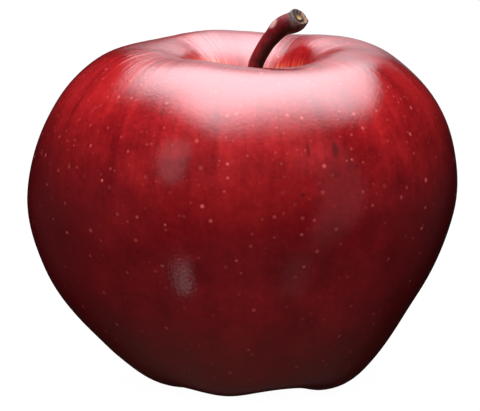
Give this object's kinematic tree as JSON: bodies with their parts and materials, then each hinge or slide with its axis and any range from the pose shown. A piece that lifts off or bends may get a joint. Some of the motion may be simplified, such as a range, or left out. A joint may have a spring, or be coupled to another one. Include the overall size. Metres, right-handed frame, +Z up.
{
  "type": "red apple",
  "caption": "Ripe red eating apple, tall and lobed, with its bent woody stalk and dried calyx, standing on its lobes.",
  "frame": {"origin": "under the middle of the fruit, on the surface that it stands on", "axes": "+Z up through the stalk's hollow, +X to the right and -Y to the front"},
  "size_m": [0.0801, 0.0779, 0.0709],
  "materials": {
    "skin": "polished waxy fruit skin, streaked crimson to maroon with fine pale specks",
    "stalk_wood": "smooth dark red-brown young bark with a pale dry scar at the end",
    "dry_calyx": "dry, brown and slightly woolly sepals"
  },
  "bodies": {
    "root": {"fruit": "skin", "stalk": "stalk_wood", "calyx": "dry_calyx"}
  },
  "joints": []
}
